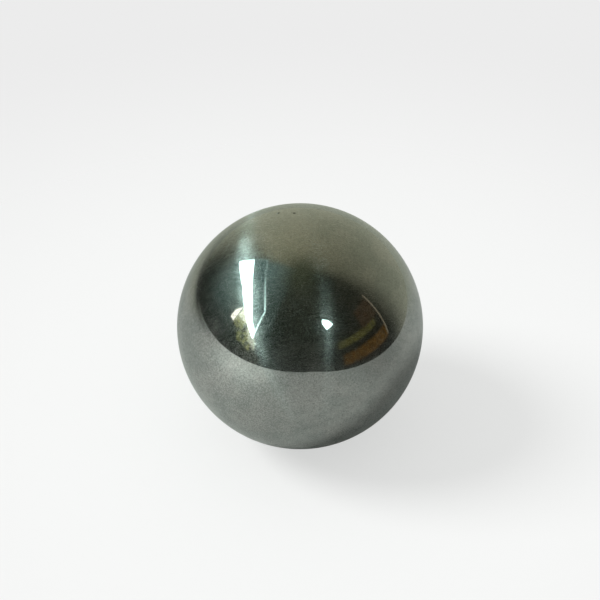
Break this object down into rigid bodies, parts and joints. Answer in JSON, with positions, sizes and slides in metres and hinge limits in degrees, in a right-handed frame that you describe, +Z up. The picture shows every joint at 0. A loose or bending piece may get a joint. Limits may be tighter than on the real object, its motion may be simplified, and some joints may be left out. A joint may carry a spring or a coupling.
{
  "type": "steel ball",
  "caption": "Solid polished steel ball with a mirror finish, round all over with no seam or flat, to lie in a cup, ring or socket.",
  "frame": {"origin": "centre of the ball", "axes": "+Z up, away from the surface or seat that the ball lies on; the ball is the same about every axis"},
  "size_m": [0.05, 0.05, 0.05],
  "materials": {
    "polished_steel": "bare hardened steel, ground and mirror polished, with fine hairlines and no plating"
  },
  "bodies": {
    "root": {"ball": "polished_steel"}
  },
  "joints": []
}
